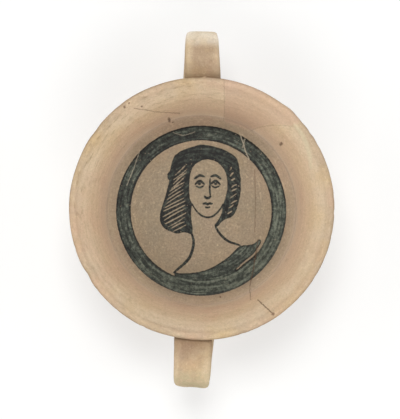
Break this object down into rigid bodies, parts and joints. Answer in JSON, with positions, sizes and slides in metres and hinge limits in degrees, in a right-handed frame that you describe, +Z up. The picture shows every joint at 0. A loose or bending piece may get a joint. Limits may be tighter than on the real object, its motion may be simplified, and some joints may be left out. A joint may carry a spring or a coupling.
{
  "type": "two-handled drinking cup",
  "caption": "Terracotta drinking cup on a ring foot, with a flaring wall, a vertical strap handle on each side and a round painted picture on its floor.",
  "frame": {"origin": "on the wheel's axis, at the underside of the ring foot", "axes": "+Z up along the wheel's axis, out of the cup's mouth; the handles lie along Y, the one at the top of the picture towards +Y; +X is to the right of the picture"},
  "size_m": [0.1298, 0.1771, 0.0579],
  "materials": {
    "terracotta": "matt, unglazed, with slip-painted decoration inside"
  },
  "bodies": {
    "root": {"drinking_cup": "terracotta"}
  },
  "joints": []
}
